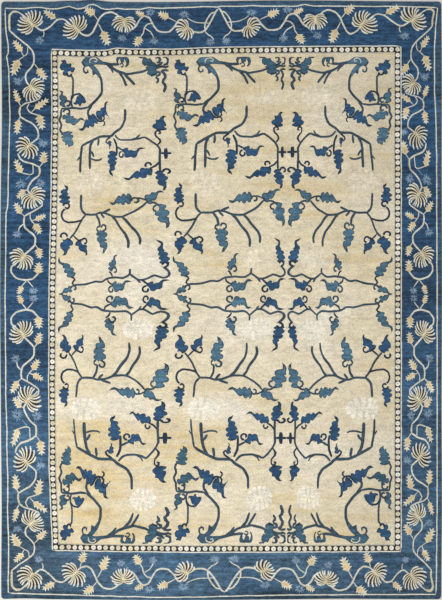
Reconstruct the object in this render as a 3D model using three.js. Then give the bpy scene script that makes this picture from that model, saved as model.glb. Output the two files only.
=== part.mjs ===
// A hand-knotted Chinese wool rug, lying flat on the floor with its pile up.
// It is one woven piece: a cotton foundation, a short wool pile and overcast edges, all in one solid.
// Millimetres, +Z up, +Y from the foot end to the head end, +X to the right.
// The origin is on the floor, under the middle of the rug.
import * as THREE from "three";

// Driving dimensions
const RUG_WIDTH = 2638;
const RUG_LENGTH = 3584;
const FOUNDATION = 3;
const PILE = 7;
const EDGE_ROUND = 15; // how far in from the edge the pile reaches its full height
const CORNER_RADIUS = 20;
const OUTLINE_STEP = 44; // between points along a side
const CORNER_STEPS = 4;

const HEIGHT = FOUNDATION + PILE;

// The edges aren't quite straight. Each row pushes one side out (or in, below zero) around a place on it:
// at is measured along that side from its middle, towards +X or +Y, and reach is half the swell's width.
const SWELLS = [
  { side: "head", at: -925, reach: 55, out: 6 },
  { side: "head", at: -780, reach: 75, out: 13 },
  { side: "head", at: -340, reach: 420, out: -4 },
  { side: "head", at: 420, reach: 520, out: 8 },
  { side: "foot", at: -1180, reach: 120, out: -5 },
  { side: "foot", at: -260, reach: 520, out: 6 },
  { side: "foot", at: 720, reach: 300, out: -3 },
  { side: "left", at: 1130, reach: 330, out: -5 },
  { side: "left", at: 60, reach: 640, out: 7 },
  { side: "left", at: -1240, reach: 260, out: -3 },
  { side: "right", at: 1320, reach: 420, out: 4 },
  { side: "right", at: 150, reach: 700, out: 6 },
  { side: "right", at: -1180, reach: 380, out: 5 },
];

// The section through an edge, from the floor up: the foundation with its overcasting,
// then the rounded shoulder of the pile.
const EDGE_SECTION = [
  { inset: 3, height: 0 },
  { inset: 0.6, height: 0.35 * FOUNDATION },
  { inset: 0, height: FOUNDATION },
  { inset: 1.2, height: FOUNDATION + 0.45 * PILE },
  { inset: 5, height: FOUNDATION + 0.85 * PILE },
  { inset: EDGE_ROUND, height: HEIGHT },
];

function swellOf(side, along) {
  return SWELLS.filter((row) => row.side === side).reduce(
    (sum, row) => sum + row.out * Math.exp(-(((along - row.at) / row.reach) ** 2)),
    0,
  );
}

// Moves a point of the straight-sided rug to where the uneven edges carry it.
function settle(point) {
  const across = point.x / RUG_WIDTH + 0.5;
  const along = point.y / RUG_LENGTH + 0.5;
  const x = THREE.MathUtils.lerp(-swellOf("left", point.y), swellOf("right", point.y), across);
  const y = THREE.MathUtils.lerp(-swellOf("foot", point.x), swellOf("head", point.x), along);
  return new THREE.Vector2(point.x + x, point.y + y);
}

// The rug's outline, inset by a distance, anticlockwise: straight sides cut into steps, joined by round corners.
function outline(inset) {
  const halfWidth = RUG_WIDTH / 2 - CORNER_RADIUS;
  const halfLength = RUG_LENGTH / 2 - CORNER_RADIUS;
  const corners = [
    new THREE.Vector2(halfWidth, halfLength),
    new THREE.Vector2(-halfWidth, halfLength),
    new THREE.Vector2(-halfWidth, -halfLength),
    new THREE.Vector2(halfWidth, -halfLength),
  ];
  const onArc = (corner, quarterTurns) => {
    const angle = (quarterTurns * Math.PI) / 2;
    const radius = CORNER_RADIUS - inset;
    return corner.clone().add(new THREE.Vector2(radius * Math.cos(angle), radius * Math.sin(angle)));
  };
  return corners.flatMap((corner, quarter) => {
    const arc = Array.from({ length: CORNER_STEPS + 1 }, (_, i) => onArc(corner, quarter + i / CORNER_STEPS));
    const sideStart = arc.at(-1);
    const sideEnd = onArc(corners[(quarter + 1) % 4], quarter + 1);
    const steps = Math.round(sideStart.distanceTo(sideEnd) / OUTLINE_STEP);
    const side = Array.from({ length: steps - 1 }, (_, i) =>
      sideStart.clone().lerp(sideEnd, (i + 1) / steps),
    );
    return [...arc, ...side];
  });
}

// Rings of the outline stacked up the edge's section, closed by a flat underside and a flat top.
function rugGeometry() {
  const rings = EDGE_SECTION.map(({ inset, height }) =>
    outline(inset).map((point) => {
      const settled = settle(point);
      return new THREE.Vector3(settled.x, settled.y, height);
    }),
  );
  const count = rings[0].length;
  const index = [];
  rings.slice(1).forEach((_, level) => {
    for (let i = 0; i < count; i++) {
      const next = (i + 1) % count;
      const low = level * count;
      const high = low + count;
      index.push(low + i, low + next, high + next, low + i, high + next, high + i);
    }
  });
  const flat = (ring) => ring.map((point) => new THREE.Vector2(point.x, point.y));
  const topStart = (rings.length - 1) * count;
  for (const [a, b, c] of THREE.ShapeUtils.triangulateShape(flat(rings[0]), [])) {
    index.push(c, b, a);
  }
  for (const [a, b, c] of THREE.ShapeUtils.triangulateShape(flat(rings.at(-1)), [])) {
    index.push(topStart + a, topStart + b, topStart + c);
  }
  const geometry = new THREE.BufferGeometry().setFromPoints(rings.flat());
  geometry.setIndex(index);
  geometry.computeVertexNormals();
  return geometry;
}

// Puts the middle of the geometry's box over the origin, with its underside on the floor.
function centred(geometry) {
  geometry.computeBoundingBox();
  const middle = geometry.boundingBox.getCenter(new THREE.Vector3());
  return geometry.translate(-middle.x, -middle.y, -geometry.boundingBox.min.z);
}

const ivoryWool = new THREE.MeshStandardMaterial({ color: 0xd8ccae, roughness: 0.95, metalness: 0 });

const rug = new THREE.Mesh(centred(rugGeometry()), ivoryWool);
rug.name = "rug";

const part = new THREE.Group();
part.add(rug);

export default part;
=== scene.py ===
"""A hand-knotted Chinese wool rug, lying flat, with its pattern knotted in from a chart.

The chart counts squares of one length from the left head corner of the rug: x to the right, y down
towards the foot. Headings on it are degrees clockwise from the right, as seen on the chart.
"""
import math
import random
from collections import namedtuple

import bpy
import numpy as np
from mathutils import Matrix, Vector, noise
from mathutils.geometry import delaunay_2d_cdt


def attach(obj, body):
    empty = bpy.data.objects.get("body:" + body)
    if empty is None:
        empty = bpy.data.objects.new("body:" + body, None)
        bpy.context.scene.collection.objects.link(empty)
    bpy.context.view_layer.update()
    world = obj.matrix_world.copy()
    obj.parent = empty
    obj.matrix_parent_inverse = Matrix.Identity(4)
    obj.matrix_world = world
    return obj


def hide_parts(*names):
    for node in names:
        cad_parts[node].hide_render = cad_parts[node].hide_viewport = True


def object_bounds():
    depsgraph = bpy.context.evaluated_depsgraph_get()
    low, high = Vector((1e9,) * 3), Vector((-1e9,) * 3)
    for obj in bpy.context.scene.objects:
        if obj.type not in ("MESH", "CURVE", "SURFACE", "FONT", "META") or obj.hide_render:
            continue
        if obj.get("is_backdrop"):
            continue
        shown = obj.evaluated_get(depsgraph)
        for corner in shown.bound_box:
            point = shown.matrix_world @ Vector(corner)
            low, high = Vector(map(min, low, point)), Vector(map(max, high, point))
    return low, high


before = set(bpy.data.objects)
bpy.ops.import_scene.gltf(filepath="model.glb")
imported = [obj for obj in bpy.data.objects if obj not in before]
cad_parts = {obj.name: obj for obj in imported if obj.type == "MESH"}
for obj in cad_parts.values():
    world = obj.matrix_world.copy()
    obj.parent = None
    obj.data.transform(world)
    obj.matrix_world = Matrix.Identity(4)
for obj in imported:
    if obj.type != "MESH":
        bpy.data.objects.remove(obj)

bl_info = {
    "name": "Chinese Wool Rug",
    "version": (1, 0, 0),
    "blender": (4, 5, 0),
    "location": "View3D > Sidebar > Rug",
    "description": "Knots a room-size Chinese wool rug from a chart and lays it on a plain floor",
    "category": "Object",
}

CHART_WIDTH = 442
CHART_LENGTH = 600


def dye(red, green, blue):
    """A yarn's colour as seen (0 to 255), as the linear colour that Blender works in."""
    seen = (red / 255, green / 255, blue / 255)
    return tuple(c / 12.92 if c <= 0.04045 else ((c + 0.055) / 1.055) ** 2.4 for c in seen)


# Yarns. Abrash is how unevenly the dye took from row to row; the next habit is how much the wool has yellowed
# or bleached in patches, and how strongly the painted shade greys it; fade is how much it greyed towards the
# rug's foot.
Yarn = namedtuple("Yarn", "name label seen abrash stain fade", defaults=(0.0,))
YARNS = (
    Yarn("band", "Plain band blue", (56, 84, 106), 1.0, 0.0),
    Yarn("ground", "Border blue", (40, 74, 106), 1.0, 0.0, 1.0),
    Yarn("ink", "Blue-black", (34, 50, 68), 0.4, 0.0),
    Yarn("navy", "Leaf navy", (45, 80, 113), 0.5, 0.0),
    Yarn("sky", "Light leaf blue", (74, 108, 128), 0.5, 0.0),
    Yarn("cloud", "Cloud slate blue", (60, 92, 110), 0.5, 0.0),
    Yarn("slate", "Vine slate", (54, 72, 85), 0.5, 0.0),
    Yarn("bark", "Guard brown-black", (46, 43, 48), 0.2, 0.0),
    Yarn("mist", "Sprig grey-blue", (124, 146, 166), 0.4, 0.0),
    Yarn("field", "Field straw", (224, 212, 183), 0.0, 1.0),
    Yarn("blossom", "Blossom ivory", (237, 231, 216), 0.0, 0.4),
    Yarn("faint", "Faint blossom ivory", (229, 219, 196), 0.0, 0.8),
    Yarn("ivory", "Border ivory", (220, 218, 202), 0.1, 0.2),
    Yarn("cream", "Cream", (216, 207, 176), 0.1, 0.2),
    Yarn("peach", "Peach", (214, 192, 150), 0.1, 0.2),
    Yarn("edge", "Guard edge grey", (178, 176, 160), 0.1, 0.3),
)
YARN_HABITS = {yarn.name: yarn for yarn in YARNS}


class RugYarns(bpy.types.PropertyGroup):
    """The colours of the rug's yarns."""

    __annotations__ = {
        yarn.name: bpy.props.FloatVectorProperty(
            name=yarn.label,
            description=f"Colour of the {yarn.label.lower()} wool",
            default=dye(*yarn.seen),
            subtype="COLOR",
            min=0.0,
            max=1.0,
        )
        for yarn in YARNS
    }


class RugSizes(bpy.types.PropertyGroup):
    """The sizes of the rug's chart and pile."""

    square: bpy.props.FloatProperty(
        name="Chart square", description="Length of one square of the chart", default=0.006,
        subtype="DISTANCE", unit="LENGTH",
    )
    dip: bpy.props.FloatProperty(
        name="Pile unevenness", description="How far the pile's surface dips between its high places",
        default=0.0014, subtype="DISTANCE", unit="LENGTH",
    )
    mesh_step: bpy.props.FloatProperty(
        name="Surface step", description="Distance between points of the pile's surface outside the pattern",
        default=0.056, subtype="DISTANCE", unit="LENGTH",
    )
    knot: bpy.props.FloatProperty(
        name="Knot pitch", description="Distance from one knot of pile to the next", default=0.0042,
        subtype="DISTANCE", unit="LENGTH",
    )
    wobble: bpy.props.FloatProperty(
        name="Hand's wobble", description="How far the knotting strays from the chart, in squares",
        default=0.35, subtype="FACTOR", max=2.0,
    )


# Drawing on the chart

Patch = namedtuple("Patch", "points cells yarn tone")
TONE_SPREAD = 0.07  # how far one motif's depth of colour strays from the next


class Drawing:
    """Patches of yarn on a chart, each knotted over the ones before it."""

    def __init__(self):
        self.patches = []

    def shape(self, points, yarn, tone=1.0):
        """Fills a closed outline."""
        points = np.asarray(points, float)
        self.patches.append(Patch(points, [list(range(len(points)))], yarn, tone))

    def cut(self, points, cells, yarn, tone=1.0):
        """Fills cells cut from a set of points."""
        self.patches.append(Patch(np.asarray(points, float), cells, yarn, tone))

    def ribbon(self, spine, left, right, yarn, tone=1.0):
        """Fills a strip along a spine, so wide to its left and its right. Yarn may be (yarn, share) pairs."""
        spine = np.asarray(spine, float)
        count = len(spine)
        along = np.gradient(spine, axis=0)
        along /= np.maximum(np.linalg.norm(along, axis=1, keepdims=True), 1e-6)
        leftward = np.stack((along[:, 1], -along[:, 0]), axis=1)
        left_rail = spine + leftward * np.broadcast_to(left, count)[:, None]
        right_rail = spine - leftward * np.broadcast_to(right, count)[:, None]
        stretches = ((yarn, 1.0),) if isinstance(yarn, str) else yarn
        start = 0
        for name, share in stretches:
            end = max(start + 1, round(share * (count - 1)))
            rails = np.concatenate((left_rail[start:end + 1], right_rail[start:end + 1]))
            half = end + 1 - start
            cells = [[i, i + 1, half + i + 1, half + i] for i in range(half - 1)]
            self.patches.append(Patch(rails, cells, name, tone))
            start = end

    def place(self, other, move, tones, changes=None):
        """Copies another drawing's patches here, each point moved and some yarns changed for others; tones
        draws each patch's depth of colour."""
        for patch in other.patches:
            tone = patch.tone * (1 + TONE_SPREAD * tones.uniform(-1, 1))
            yarn = (changes or {}).get(patch.yarn, patch.yarn)
            self.patches.append(Patch(move(patch.points), patch.cells, yarn, tone))


def evenly(points, step, least=2):
    """Points spaced evenly along a line."""
    points = np.asarray(points, float)
    lengths = np.concatenate(([0], np.cumsum(np.linalg.norm(np.diff(points, axis=0), axis=1))))
    count = max(least, round(lengths[-1] / step) + 1)
    stations = np.linspace(0, lengths[-1], count)
    return np.stack([np.interp(stations, lengths, points[:, axis]) for axis in (0, 1)], axis=1)


CURVE_PULL = 0.42  # how far each point's heading carries into the curve, as a share of the way to the next


def smooth(points, step=2.5, least=2):
    """A smooth line through points, cut into even steps."""
    points = np.asarray(points, float)
    if len(points) == 2:
        return evenly(points, step, least)
    headings = np.gradient(points, axis=0)
    headings /= np.maximum(np.linalg.norm(headings, axis=1, keepdims=True), 1e-6)
    t = np.linspace(0, 1, 9)[:, None]
    line = []
    for i in range(len(points) - 1):
        reach = CURVE_PULL * np.linalg.norm(points[i + 1] - points[i])
        line.append(
            (2 * t**3 - 3 * t**2 + 1) * points[i] + (t**3 - 2 * t**2 + t) * headings[i] * reach
            + (3 * t**2 - 2 * t**3) * points[i + 1] + (t**3 - t**2) * headings[i + 1] * reach
        )
    return evenly(np.concatenate(line), step, least)


def spiral(start, heading, radius, turn):
    """The line of a scroll: it sets off on its heading and winds inwards, clockwise for a turn above zero."""
    steps = max(4, round(abs(turn) / 30))
    bend = math.radians(turn) / steps
    angle = math.radians(heading)
    points = [np.array(start, float)]
    for step in range(steps):
        length = 2 * radius * (1 - 0.5 * step / steps) * math.sin(abs(bend) / 2)
        angle += bend / 2
        points.append(points[-1] + length * np.array((math.cos(angle), math.sin(angle))))
        angle += bend / 2
    return np.array(points)


# Motifs

def stem(drawing, points, width, yarn="slate", tone=1.0):
    """A stalk of even width with its two ends a little narrower."""
    line = smooth(points)
    half = np.full(len(line), width / 2)
    half[[0, -1]] *= 0.7
    drawing.ribbon(line, half, half, yarn, tone)


def scroll(drawing, start, heading, radius, turn, width=1.6, yarn="ink", cleared=None):
    """A small stalk that winds into a ring, whose inside may be cleared to another yarn."""
    line = spiral(start, heading, radius, turn)
    half = width / 2 * np.interp(np.linspace(0, 1, len(line)), (0, 0.6, 0.8, 1), (0.9, 0.8, 1.0, 0.5))
    if cleared:
        side = math.radians(heading + math.copysign(90, turn))
        centre = line[0] + 0.92 * radius * np.array((math.cos(side), math.sin(side)))
        disc(drawing, centre, 0.9 * radius, 0.9 * radius, cleared, sides=9)
    drawing.ribbon(line, half, half, yarn)


def lobed(share, lobes, tail):
    """Half the width of a lobed leaf, as a share of its greatest, at a share of its length from the base."""
    body = np.clip(share / (1 - tail), 0, 1)
    swell = np.interp(body, (0, 0.15, 0.5, 0.85, 1), (0.7, 1.0, 1.0, 0.72, 0.42))
    scallop = 0.54 + 0.46 * np.abs(np.sin(np.pi * lobes * body)) ** 0.6
    tip = np.interp((share - 1 + tail) / tail, (0, 0.3, 0.6, 0.8, 1), (0.3, 0.2, 0.26, 0.18, 0.03))
    return np.where(share < 1 - tail, swell * scallop, tip)


RIMS = {"navy": ("ink", 0.75), "sky": ("slate", 1.0), "corner": ("slate", 1.0), "cloud": ("ink", 0.7)}


def leaf(drawing, base, middle, tip, width, lobes, yarn, tail, flick):
    """A lobed leaf from its base through its middle to its drawn-out tip, which flicks to one side."""
    rim_yarn, rim = RIMS[yarn]
    base, middle, tip = (np.array(point, float) for point in (base, middle, tip))
    last = tip - middle
    kink = middle + 0.68 * last + 0.2 * flick * np.array((last[1], -last[0]))
    line = smooth((base, middle, middle + 0.36 * last, kink, tip), step=200, least=60)
    share = np.concatenate((np.linspace(0, 1 - tail, 4 * lobes + 1), np.linspace(1 - tail, 1, 6)[1:]))
    places = np.linspace(0, 1, len(line))
    line = np.stack([np.interp(share, places, line[:, axis]) for axis in (0, 1)], axis=1)
    half = 0.53 * width * np.interp(share, (0, 0.09), (0.6, 1.0))
    left = half * lobed(share, lobes, tail)
    right = half * lobed(np.clip(share + (1 - tail) / (4 * lobes), 0, 1), lobes, tail)
    drawing.ribbon(line, left, right, rim_yarn)
    inner = slice(1, -3)
    drawing.ribbon(
        line[inner], np.maximum(left[inner] - rim, 0.15), np.maximum(right[inner] - rim, 0.15), yarn
    )


def blossom(drawing, centre, width, height):
    """A pale full flower, hardly lighter than the field around it: rings of long petals with notched tips."""
    middle = np.array(centre, float)
    for petals, start, end, breadth in ((13, 0.33, 0.5, 0.075), (9, 0.19, 0.34, 0.072), (5, 0.07, 0.2, 0.06)):
        for petal in range(petals):
            angle = 2 * math.pi * (petal + 0.3) / petals
            outward = np.array((width * math.cos(angle), height * math.sin(angle)))
            root, tip = middle + start * outward, middle + end * outward
            half = np.array((0.45, 1.0, 0.75)) * breadth * width
            drawing.ribbon((root, 0.35 * root + 0.65 * tip, tip), half, half, "blossom")
    disc(drawing, middle, 0.07 * width, 0.07 * height, "blossom", sides=8)


def disc(drawing, centre, half_width, half_height, yarn, sides=12, tone=1.0):
    """A round patch."""
    angles = 2 * np.pi * np.arange(sides) / sides
    points = np.stack((half_width * np.cos(angles), half_height * np.sin(angles)), axis=1)
    drawing.shape(points + np.asarray(centre, float), yarn, tone)


PETAL_STEPS = 5


def chrysanthemum(drawing, root, heading, reach, petals):
    """A spider chrysanthemum seen from its side: on either side of a short rib, thin petals bend over towards
    its heading, the first from the root leaning furthest back."""
    root = np.array(root, float)
    ahead = math.radians(heading)
    rib = 0.4 * reach * np.array((math.cos(ahead), math.sin(ahead)))
    widths = np.interp(np.linspace(0, 1, PETAL_STEPS + 1), (0, 0.5, 0.85, 1), (0.4, 0.64, 0.8, 0.55))
    for side in (-1, 1):
        lines = []
        for petal in range(petals):
            inward = petal / (petals - 1)
            angle = ahead + side * math.radians(146 - 104 * inward)
            bend = -side * math.radians(92 - 34 * inward) / PETAL_STEPS
            length = reach * np.interp(inward, (0, 0.3, 1), (0.78, 1.06, 0.56))
            line = [root + rib * inward]
            for _ in range(PETAL_STEPS):
                angle += bend / 2
                line.append(line[-1] + length / PETAL_STEPS * np.array((math.cos(angle), math.sin(angle))))
                angle += bend / 2
            lines.append(np.array(line))
        rails = np.concatenate([line[:-1] for line in lines])
        cells = [
            [row * PETAL_STEPS + step + shift for shift in (0, 1, PETAL_STEPS + 1, PETAL_STEPS)]
            for row in range(petals - 1) for step in range(PETAL_STEPS - 1)
        ]
        drawing.cut(rails, cells, "bark")
        for place, line in enumerate(lines):
            drawing.ribbon(line, widths, widths, (("cream", 0.4 + 0.2 * (place % 2)), ("ivory", 1.0)))
    drawing.ribbon((root, root + 0.5 * rib, root + 0.9 * rib), (1.1, 0.8, 0.4), (1.1, 0.8, 0.4), "cream")
    disc(drawing, root, 1.6, 1.5, "peach", sides=7)


def spray(drawing, base, tip, width, teeth=4):
    """A jagged peach leaf with cream teeth that lean towards its tip."""
    base = np.array(base, float)
    tip = np.array(tip, float)
    length = np.linalg.norm(tip - base)
    along = (tip - base) / length
    leftward = np.array((along[1], -along[0]))
    for tooth in range(teeth):
        share = 0.10 + 0.60 * tooth / (teeth - 1)
        reach = width / 2 * (0.80 + 0.35 * math.sin(math.pi * (0.25 + share)))
        root = base + share * (tip - base)
        for side in (-1, 1):
            end = root + side * reach * leftward + (0.12 + 0.10 * share) * length * along
            foot = 0.10 * length * along
            drawing.cut((root - foot, end, root + 1.4 * foot), [[0, 1, 2]], "ivory")
    line = evenly((base, tip), length / 6)
    shares = np.linspace(0, 1, len(line))
    half = width * np.interp(shares, (0, 0.15, 0.4, 0.7, 1), (0.08, 0.36, 0.34, 0.17, 0.03))
    drawing.ribbon(line, half, half, "cream")
    drawing.ribbon(line[:-2], 0.66 * half[:-2], 0.66 * half[:-2], "peach")


def sprig(drawing, centre, size, seed):
    """A faint grey-blue tuft of short blades around its middle."""
    draw = random.Random(seed)
    centre = np.array(centre, float)
    for blade in range(12):
        angle = 2 * math.pi * (blade + draw.uniform(-0.3, 0.3)) / 12
        outward = np.array((math.cos(angle), 0.85 * math.sin(angle)))
        start = centre + outward * size * draw.uniform(0.05, 0.45)
        end = centre + outward * size * draw.uniform(0.85, 1.2)
        drawing.ribbon((start, end), (0.7, 0.3), (0.7, 0.3), "mist")


# The field's branch, charted once. Its points are (across from the outer edge of its column, down from the
# head of the field).

Stalk = namedtuple("Stalk", "width points yarn", defaults=("slate",))
STALKS = (
    # the outer corner: the first leaf's stalk, its shelf and its loop
    Stalk(1.7, ((11.5, 16), (14.7, 20), (14.7, 34.5), (13.3, 38), (13.3, 44.5), (15, 47.5))),
    Stalk(1.8, ((4, 48), (15, 47.2), (24, 48), (31.6, 47))),
    Stalk(1.5, ((13.7, 39), (15.4, 35.6), (19.5, 34.2), (25, 36.2)), "ink"),
    # the great branch down from its head
    Stalk(2.6, ((34, 9), (39, 13), (44, 17), (46.5, 24), (46.3, 33), (39.4, 41), (31.6, 47))),
    Stalk(2.2, ((36, 44.4), (31.2, 51), (31.6, 54.8), (38, 57.2), (43, 60))),
    Stalk(1.6, ((38, 58), (43, 60.5), (47.5, 60.3), (50, 57.3), (48, 54.4), (44.8, 55), (44.3, 57.6),
                (46.8, 58.2)), "ink"),
    Stalk(1.5, ((48.5, 60.3), (50.4, 63), (48, 65)), "ink"),
    # the wavy stalk down the outer edge
    Stalk(1.7, ((4.2, 47.7), (3.4, 52), (3.6, 55), (1.7, 59.2), (3.9, 64.5), (2.4, 69.5), (5, 73))),
    # the great branch along the head
    Stalk(2.4, ((44, 5.2), (50, 5.8), (58, 7), (67.6, 6.8))),
    Stalk(1.8, ((53, 7.5), (57.5, 10.5), (60.6, 14.6))),
    Stalk(2.4, ((56.5, 8), (62, 11.8), (67.6, 14), (75, 15.4))),
    Stalk(1.9, ((70, 14.8), (77, 16), (90.8, 13.6), (97, 11))),
    Stalk(2.2, ((66.5, 13.2), (72.6, 19.6), (76, 27))),
    Stalk(2.2, ((73.5, 15.2), (78.5, 20.5), (83.4, 25.8))),
    # the second vine, over and down to its cut stalks
    Stalk(2.3, ((74.7, 48.6), (74.3, 59.4), (70, 67), (61.8, 71.8), (57.7, 75.5), (44.4, 76), (34.5, 81),
                (24.5, 86.8))),
    Stalk(2.9, ((24.4, 86.5), (23.8, 93), (23.2, 101), (22.6, 114)), "slate"),
    Stalk(1.6, ((19.3, 102.5), (22.6, 98.5))),
    Stalk(2.6, ((37, 80), (34, 85.5), (33.3, 92), (33.2, 110.7)), "slate"),
    Stalk(1.6, ((34, 100.2), (39.4, 102.2), (44, 102), (46.5, 100.4))),
    Stalk(1.8, ((34, 92.5), (36, 95), (37.6, 98.6))),
    Stalk(2.2, ((42.8, 78.2), (42.6, 82), (42, 86.3))),
    Stalk(1.7, ((57, 76.8), (53, 79), (51.3, 81.8), (53, 83.8), (55.6, 82.2)), "ink"),
    Stalk(2.0, ((61, 77.8), (64, 84), (64.6, 90), (64.7, 97)), "ink"),
    Stalk(1.8, ((64.6, 87.8), (68.5, 89.8), (72, 91.5))),
    # the second vine's arm, to the inner edge and down
    Stalk(1.8, ((62.5, 74), (65.5, 77.5), (69.3, 79.6), (80, 79.8), (86, 78.5), (91, 76.4))),
    Stalk(1.6, ((80, 79.3), (85, 77.5), (87.8, 73.6))),
    Stalk(1.8, ((86, 79), (91.7, 76.4), (97, 80), (103.3, 86), (105.8, 90.5), (105.6, 100), (105.8, 112.8))),
    Stalk(1.6, ((103.6, 85.6), (106.4, 82), (105.6, 78.5), (102.4, 75.6), (101.6, 72), (103.6, 69.8),
                (106.5, 70.8), (106.2, 73.4), (104.6, 73.2)), "ink"),
    Stalk(1.7, ((105.4, 103.6), (102, 107.6), (97.6, 109.8)), "ink"),
    # the third vine
    Stalk(2.6, ((23.7, 136), (23.6, 147), (24.6, 151.5), (28.7, 155.6)), "slate"),
    Stalk(1.9, ((28, 155.4), (35, 155.7), (40.3, 155.4), (46, 153.6), (53, 154.4), (61, 157.6),
                (72, 157.6), (82.6, 152), (88, 147.5), (91.5, 143.5))),
    Stalk(1.8, ((29.4, 155.5), (25, 160), (19.5, 170), (15.2, 176), (11.6, 179.8))),
    Stalk(1.5, ((15.6, 177), (18.5, 180), (22, 182.4)), "ink"),
    Stalk(1.5, ((79.6, 139.8), (86, 139.2), (92, 142))),
    Stalk(1.8, ((94, 144), (100, 144), (105, 147.4))),
    Stalk(1.7, ((25, 161), (18, 163), (9.6, 163.6), (5, 160.8), (3.6, 155.6), (5.6, 151), (9, 148.6)), "ink"),
    Stalk(2.2, ((40.8, 155.5), (45, 161), (46.9, 168.6)), "slate"),
    Stalk(2.0, ((46.5, 154.2), (49, 157), (51.6, 159))),
    Stalk(2.2, ((48.5, 154), (52, 152.2), (57.3, 150.2))),
    Stalk(2.2, ((59.5, 157.3), (63.5, 160.5), (69, 168.5), (75, 175.5), (77.8, 183), (77.6, 189.6))),
    Stalk(2.2, ((71.5, 157.8), (75.5, 161.5), (79.2, 167), (85.5, 174), (88.2, 180), (87.8, 186))),
    # the fourth vine, along the middle of the rug
    Stalk(1.8, ((107.4, 207), (112.6, 213.5), (112.8, 217), (109, 219.8), (101, 217.3), (92.5, 221.4),
                (86.7, 221.8), (78.8, 216))),
    Stalk(1.8, ((79.2, 210.8), (78.8, 216.5), (72.6, 220), (63.5, 219.4), (52.7, 220.6), (46, 224.2),
                (39.4, 223.5), (28.7, 226.4), (15.4, 227.4))),
    Stalk(1.7, ((11, 217.4), (13.5, 219), (17, 220.6), (16, 223), (13.8, 224.4), (15.6, 227.6)), "ink"),
    Stalk(1.6, ((59.6, 218.6), (58.2, 215.2), (55.6, 213.6)), "ink"),
    Stalk(1.7, ((53.6, 221.4), (54.6, 224.6), (59, 227)), "ink"),
    Stalk(1.6, ((85.6, 222), (88.6, 225))),
    Stalk(1.8, ((90, 222), (93, 225), (96.5, 228)), "ink"),
)

Leaf = namedtuple("Leaf", "base middle tip width lobes yarn tail flick", defaults=("navy", 0.34, 1))
LEAVES = (
    Leaf((12.6, 15.8), (9, 10.4), (3.4, 3), 12.5, 2, "navy", 0.24, -1),
    Leaf((26, 36.4), (22, 40.4), (15.4, 42), 12, 2, "navy", 0.24),
    Leaf((41.5, 57), (48.6, 50.6), (54.2, 41.6), 10, 2),
    Leaf((47.5, 53), (51.5, 53), (54.6, 57.6), 4.0, 1),
    Leaf((40.6, 56.4), (32.6, 62), (20.6, 68), 11.5, 3),
    Leaf((6.4, 46.4), (5.6, 38.5), (1.4, 30.6), 8.0, 2, "corner", 0.3, -1),
    Leaf((6.4, 53.6), (14, 60.6), (27.6, 60.6), 9.5, 3, "corner"),
    Leaf((8, 70.6), (9.8, 78), (10, 87.6), 11.5, 4, "corner", 0.1),
    Leaf((55.8, 80.6), (56.4, 85), (55, 90.6), 4.6, 2),
    Leaf((60.6, 92.8), (58.8, 102), (60, 118), 11.5, 4, "navy", 0.28, -1),
    Leaf((71.6, 91.4), (80.6, 96.6), (92.8, 90), 9.0, 3),
    Leaf((104.8, 69.4), (106, 63.4), (111.4, 55.6), 12.0, 2, "navy", 0.3),
    Leaf((98.8, 110.6), (88, 116), (72.6, 118.6), 10.0, 3),
    Leaf((105.8, 112), (107, 121), (107.6, 132), 9.8, 3, "navy", 0.24),
    Leaf((7.4, 145.2), (6.8, 138.4), (6.8, 125.8), 10.5, 3, "navy", 0.3, -1),
    Leaf((80, 139.6), (70, 141), (56, 143), 11.0, 3, "sky"),
    Leaf((91, 142.8), (97.4, 138), (108.6, 134), 10.0, 2, "sky", 0.3),
    Leaf((103, 145.6), (107.4, 156), (110, 169.6), 12.0, 3, "sky", 0.24),
    Leaf((10.8, 179.6), (8, 186), (4.4, 197), 12.0, 2, "navy", 0.28),
    Leaf((21.4, 181.2), (25.6, 188), (28.8, 197.4), 12.0, 2, "navy", 0.24),
    Leaf((48.2, 167.4), (49.8, 177.4), (49.6, 195.4), 12.5, 4, "sky", 0.2),
    Leaf((109.4, 206.8), (108.6, 197.4), (102, 180.8), 8.0, 4, "navy", 0.34, -1),
    Leaf((14.6, 219), (10, 210.6), (1.8, 199), 9.5, 3, "sky"),
    Leaf((14, 230.8), (8.8, 233), (1.2, 236.2), 7.0, 2, "sky", 0.3),
    Leaf((58.6, 213.6), (60.2, 206), (67, 196.6), 8.5, 3, "sky"),
    Leaf((58.4, 227), (67.6, 230.6), (80.6, 224), 10.5, 3, "sky"),
    Leaf((94.4, 226.4), (101.8, 229.8), (113, 222.2), 9.5, 3),
)

Scroll = namedtuple("Scroll", "start heading radius turn yarn", defaults=("ink",))
SCROLLS = (
    Scroll((9.2, 14.8), 110, 1.9, -230),
    Scroll((7, 42.6), 290, 2.3, 310, "slate"),
    Scroll((5.8, 51.6), 270, 2.7, 310, "slate"),
    Scroll((70.4, 93.2), 170, 2.7, -320),
    Scroll((98, 107.4), 270, 2.4, -250),
    Scroll((108, 113.4), 270, 2.4, 280),
    Scroll((5.4, 147), 280, 2.7, 330),
    Scroll((79.2, 142.2), 270, 2.6, 320, "slate"),
    Scroll((101.4, 146.6), 180, 2.7, -220, "slate"),
    Scroll((9.2, 178), 270, 3.0, -240),
    Scroll((24.6, 181.6), 300, 2.9, 270),
    Scroll((50.6, 172.4), 0, 3.0, -300, "slate"),
    Scroll((46.4, 168), 200, 2.0, -240, "slate"),
    Scroll((109, 208.8), 0, 2.1, -300),
    Scroll((12.9, 231), 270, 2.3, 290, "slate"),
    Scroll((59, 212.6), 270, 2.6, 310, "slate"),
    Scroll((58, 228.8), 180, 2.8, -320, "slate"),
    Scroll((93.6, 228.6), 180, 2.9, -320),
)

Blossom = namedtuple("Blossom", "centre width height")
BLOSSOMS = (
    Blossom((88, 39), 31, 22),
    Blossom((32.8, 124.4), 31, 23),
    Blossom((86.7, 202.7), 31, 21),
)


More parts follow.
